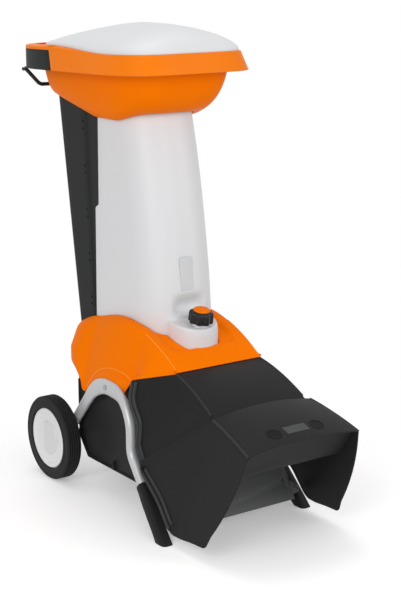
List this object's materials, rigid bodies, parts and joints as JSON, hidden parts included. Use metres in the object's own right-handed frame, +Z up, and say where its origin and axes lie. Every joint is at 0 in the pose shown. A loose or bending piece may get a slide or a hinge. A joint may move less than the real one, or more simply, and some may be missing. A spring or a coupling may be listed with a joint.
{
  "type": "garden shredder",
  "caption": "Wheeled electric garden shredder with a tall tilting feed hopper, orange motor hood, bent tube legs and a black fold-up discharge chute at the front.",
  "frame": {"origin": "on the ground under the middle of the machine", "axes": "+Z up, -Y towards the discharge chute, +X to the right of someone facing the way the chute points from behind"},
  "size_m": [0.5356, 1.18, 1.4157],
  "materials": {
    "painted_orange": "satin orange moulding",
    "white_plastic": "satin white moulding",
    "black_plastic": "fine-grained black moulding",
    "grey_plastic": "fine-grained dark grey moulding",
    "tube_silver": "silver powder coat",
    "pale_plastic": "matt pale grey",
    "tyre_rubber": "ribbed tread",
    "curtain_rubber": "plain",
    "steel": "plain",
    "cast_aluminium": "as cast",
    "copper_winding": "varnished winding",
    "green_plastic": "plain",
    "red_plastic": "plain",
    "plate_grey": "bare plate"
  },
  "bodies": {
    "base": {"frame_left": "tube_silver", "frame_right": "tube_silver", "foot_left": "black_plastic", "foot_right": "black_plastic", "frame_screws": "steel", "axle": "steel", "axle_spacers": "steel", "push_nuts": "steel", "motor_hood": "painted_orange", "base_pan": "black_plastic", "discharge_chute": "black_plastic", "front_ramp": "grey_plastic", "flap_pins": "black_plastic", "cutting_chamber": "cast_aluminium", "motor_shell": "grey_plastic", "motor_shield_top": "cast_aluminium", "motor_shield_bottom": "cast_aluminium", "stator": "copper_winding", "bearings": "steel", "counter_blade": "steel", "lock_bracket": "steel", "hinge_brackets": "steel", "hinge_pins": "steel", "switch_box": "black_plastic", "inlet_pins": "steel"},
    "wheel_left": {"wheel_rim_left": "pale_plastic", "tyre_left": "tyre_rubber", "hub_cap_left": "pale_plastic"},
    "wheel_right": {"wheel_rim_right": "pale_plastic", "tyre_right": "tyre_rubber", "hub_cap_right": "pale_plastic"},
    "rotor": {"rotor_core": "steel", "rotor_shaft": "steel", "cooling_fan": "black_plastic", "knife_disc": "steel", "knives": "steel", "knife_bolt": "steel"},
    "hopper": {"shaft_front": "white_plastic", "shaft_rear": "grey_plastic", "seam_screws": "black_plastic", "front_plate": "plate_grey", "throat_plate": "black_plastic", "hopper_bowl": "painted_orange", "rim_skirt": "painted_orange", "rear_guard": "grey_plastic", "bar_handle": "black_plastic", "hopper_hood": "white_plastic", "curtain_rod": "steel"},
    "knob_seat": {"lock_washer": "steel"},
    "knob": {"lock_knob": "black_plastic", "knob_cap": "painted_orange", "lock_stud": "steel"},
    "flap": {"discharge_flap": "black_plastic", "flap_baffle": "grey_plastic"},
    "start": {"start_button": "green_plastic"},
    "stop": {"stop_button": "red_plastic"},
    "strip_left": {"curtain_left": "curtain_rubber"},
    "strip_middle": {"curtain_middle": "curtain_rubber"},
    "strip_right": {"curtain_right": "curtain_rubber"}
  },
  "joints": [
    {"name": "wheel_left_spin", "type": "hinge", "parent": "base", "child": "wheel_left", "pos_m": [-0.233, 0.372, 0.132], "axis": [1, 0, 0], "continuous": true},
    {"name": "wheel_right_spin", "type": "hinge", "parent": "base", "child": "wheel_right", "pos_m": [0.233, 0.372, 0.132], "axis": [1, 0, 0], "continuous": true},
    {"name": "rotor_spin", "type": "hinge", "parent": "base", "child": "rotor", "pos_m": [0, 0.1, 0.402], "axis": [0, 0, 1], "continuous": true},
    {"name": "hopper_tilt", "type": "hinge", "parent": "base", "child": "hopper", "pos_m": [0, 0.424, 0.508], "axis": [-1, 0, 0], "range_deg": [0, 85]},
    {"name": "knob_lift", "type": "slide", "parent": "hopper", "child": "knob_seat", "axis": [0, -0.1908, 0.9816], "range_m": [0, 0.012]},
    {"name": "knob_turn", "type": "hinge", "parent": "knob_seat", "child": "knob", "pos_m": [0, -0.095, 0.56], "axis": [0, -0.1908, 0.9816], "range_deg": [0, 1440]},
    {"name": "flap_swing", "type": "hinge", "parent": "base", "child": "flap", "pos_m": [0, -0.15, 0.186], "axis": [-1, 0, 0], "range_deg": [0, 40]},
    {"name": "start_press", "type": "slide", "parent": "base", "child": "start", "axis": [0, -1, 0], "range_m": [0, 0.004], "stiffness_N_per_m": 900, "springref_m": -0.001},
    {"name": "stop_press", "type": "slide", "parent": "base", "child": "stop", "axis": [0, -1, 0], "range_m": [0, 0.004], "stiffness_N_per_m": 900, "springref_m": -0.001},
    {"name": "strip_left_swing", "type": "hinge", "parent": "hopper", "child": "strip_left", "pos_m": [-0.097, 0.362, 1.32591], "axis": [-1, 0, 0], "range_deg": [0, 60]},
    {"name": "strip_middle_swing", "type": "hinge", "parent": "hopper", "child": "strip_middle", "pos_m": [0, 0.362, 1.32591], "axis": [-1, 0, 0], "range_deg": [0, 60]},
    {"name": "strip_right_swing", "type": "hinge", "parent": "hopper", "child": "strip_right", "pos_m": [0.097, 0.362, 1.32591], "axis": [-1, 0, 0], "range_deg": [0, 60]}
  ],
  "couplings": [
    {"joint": "knob_turn", "follows": "knob_lift", "rad_per_m": 2094.4}
  ]
}
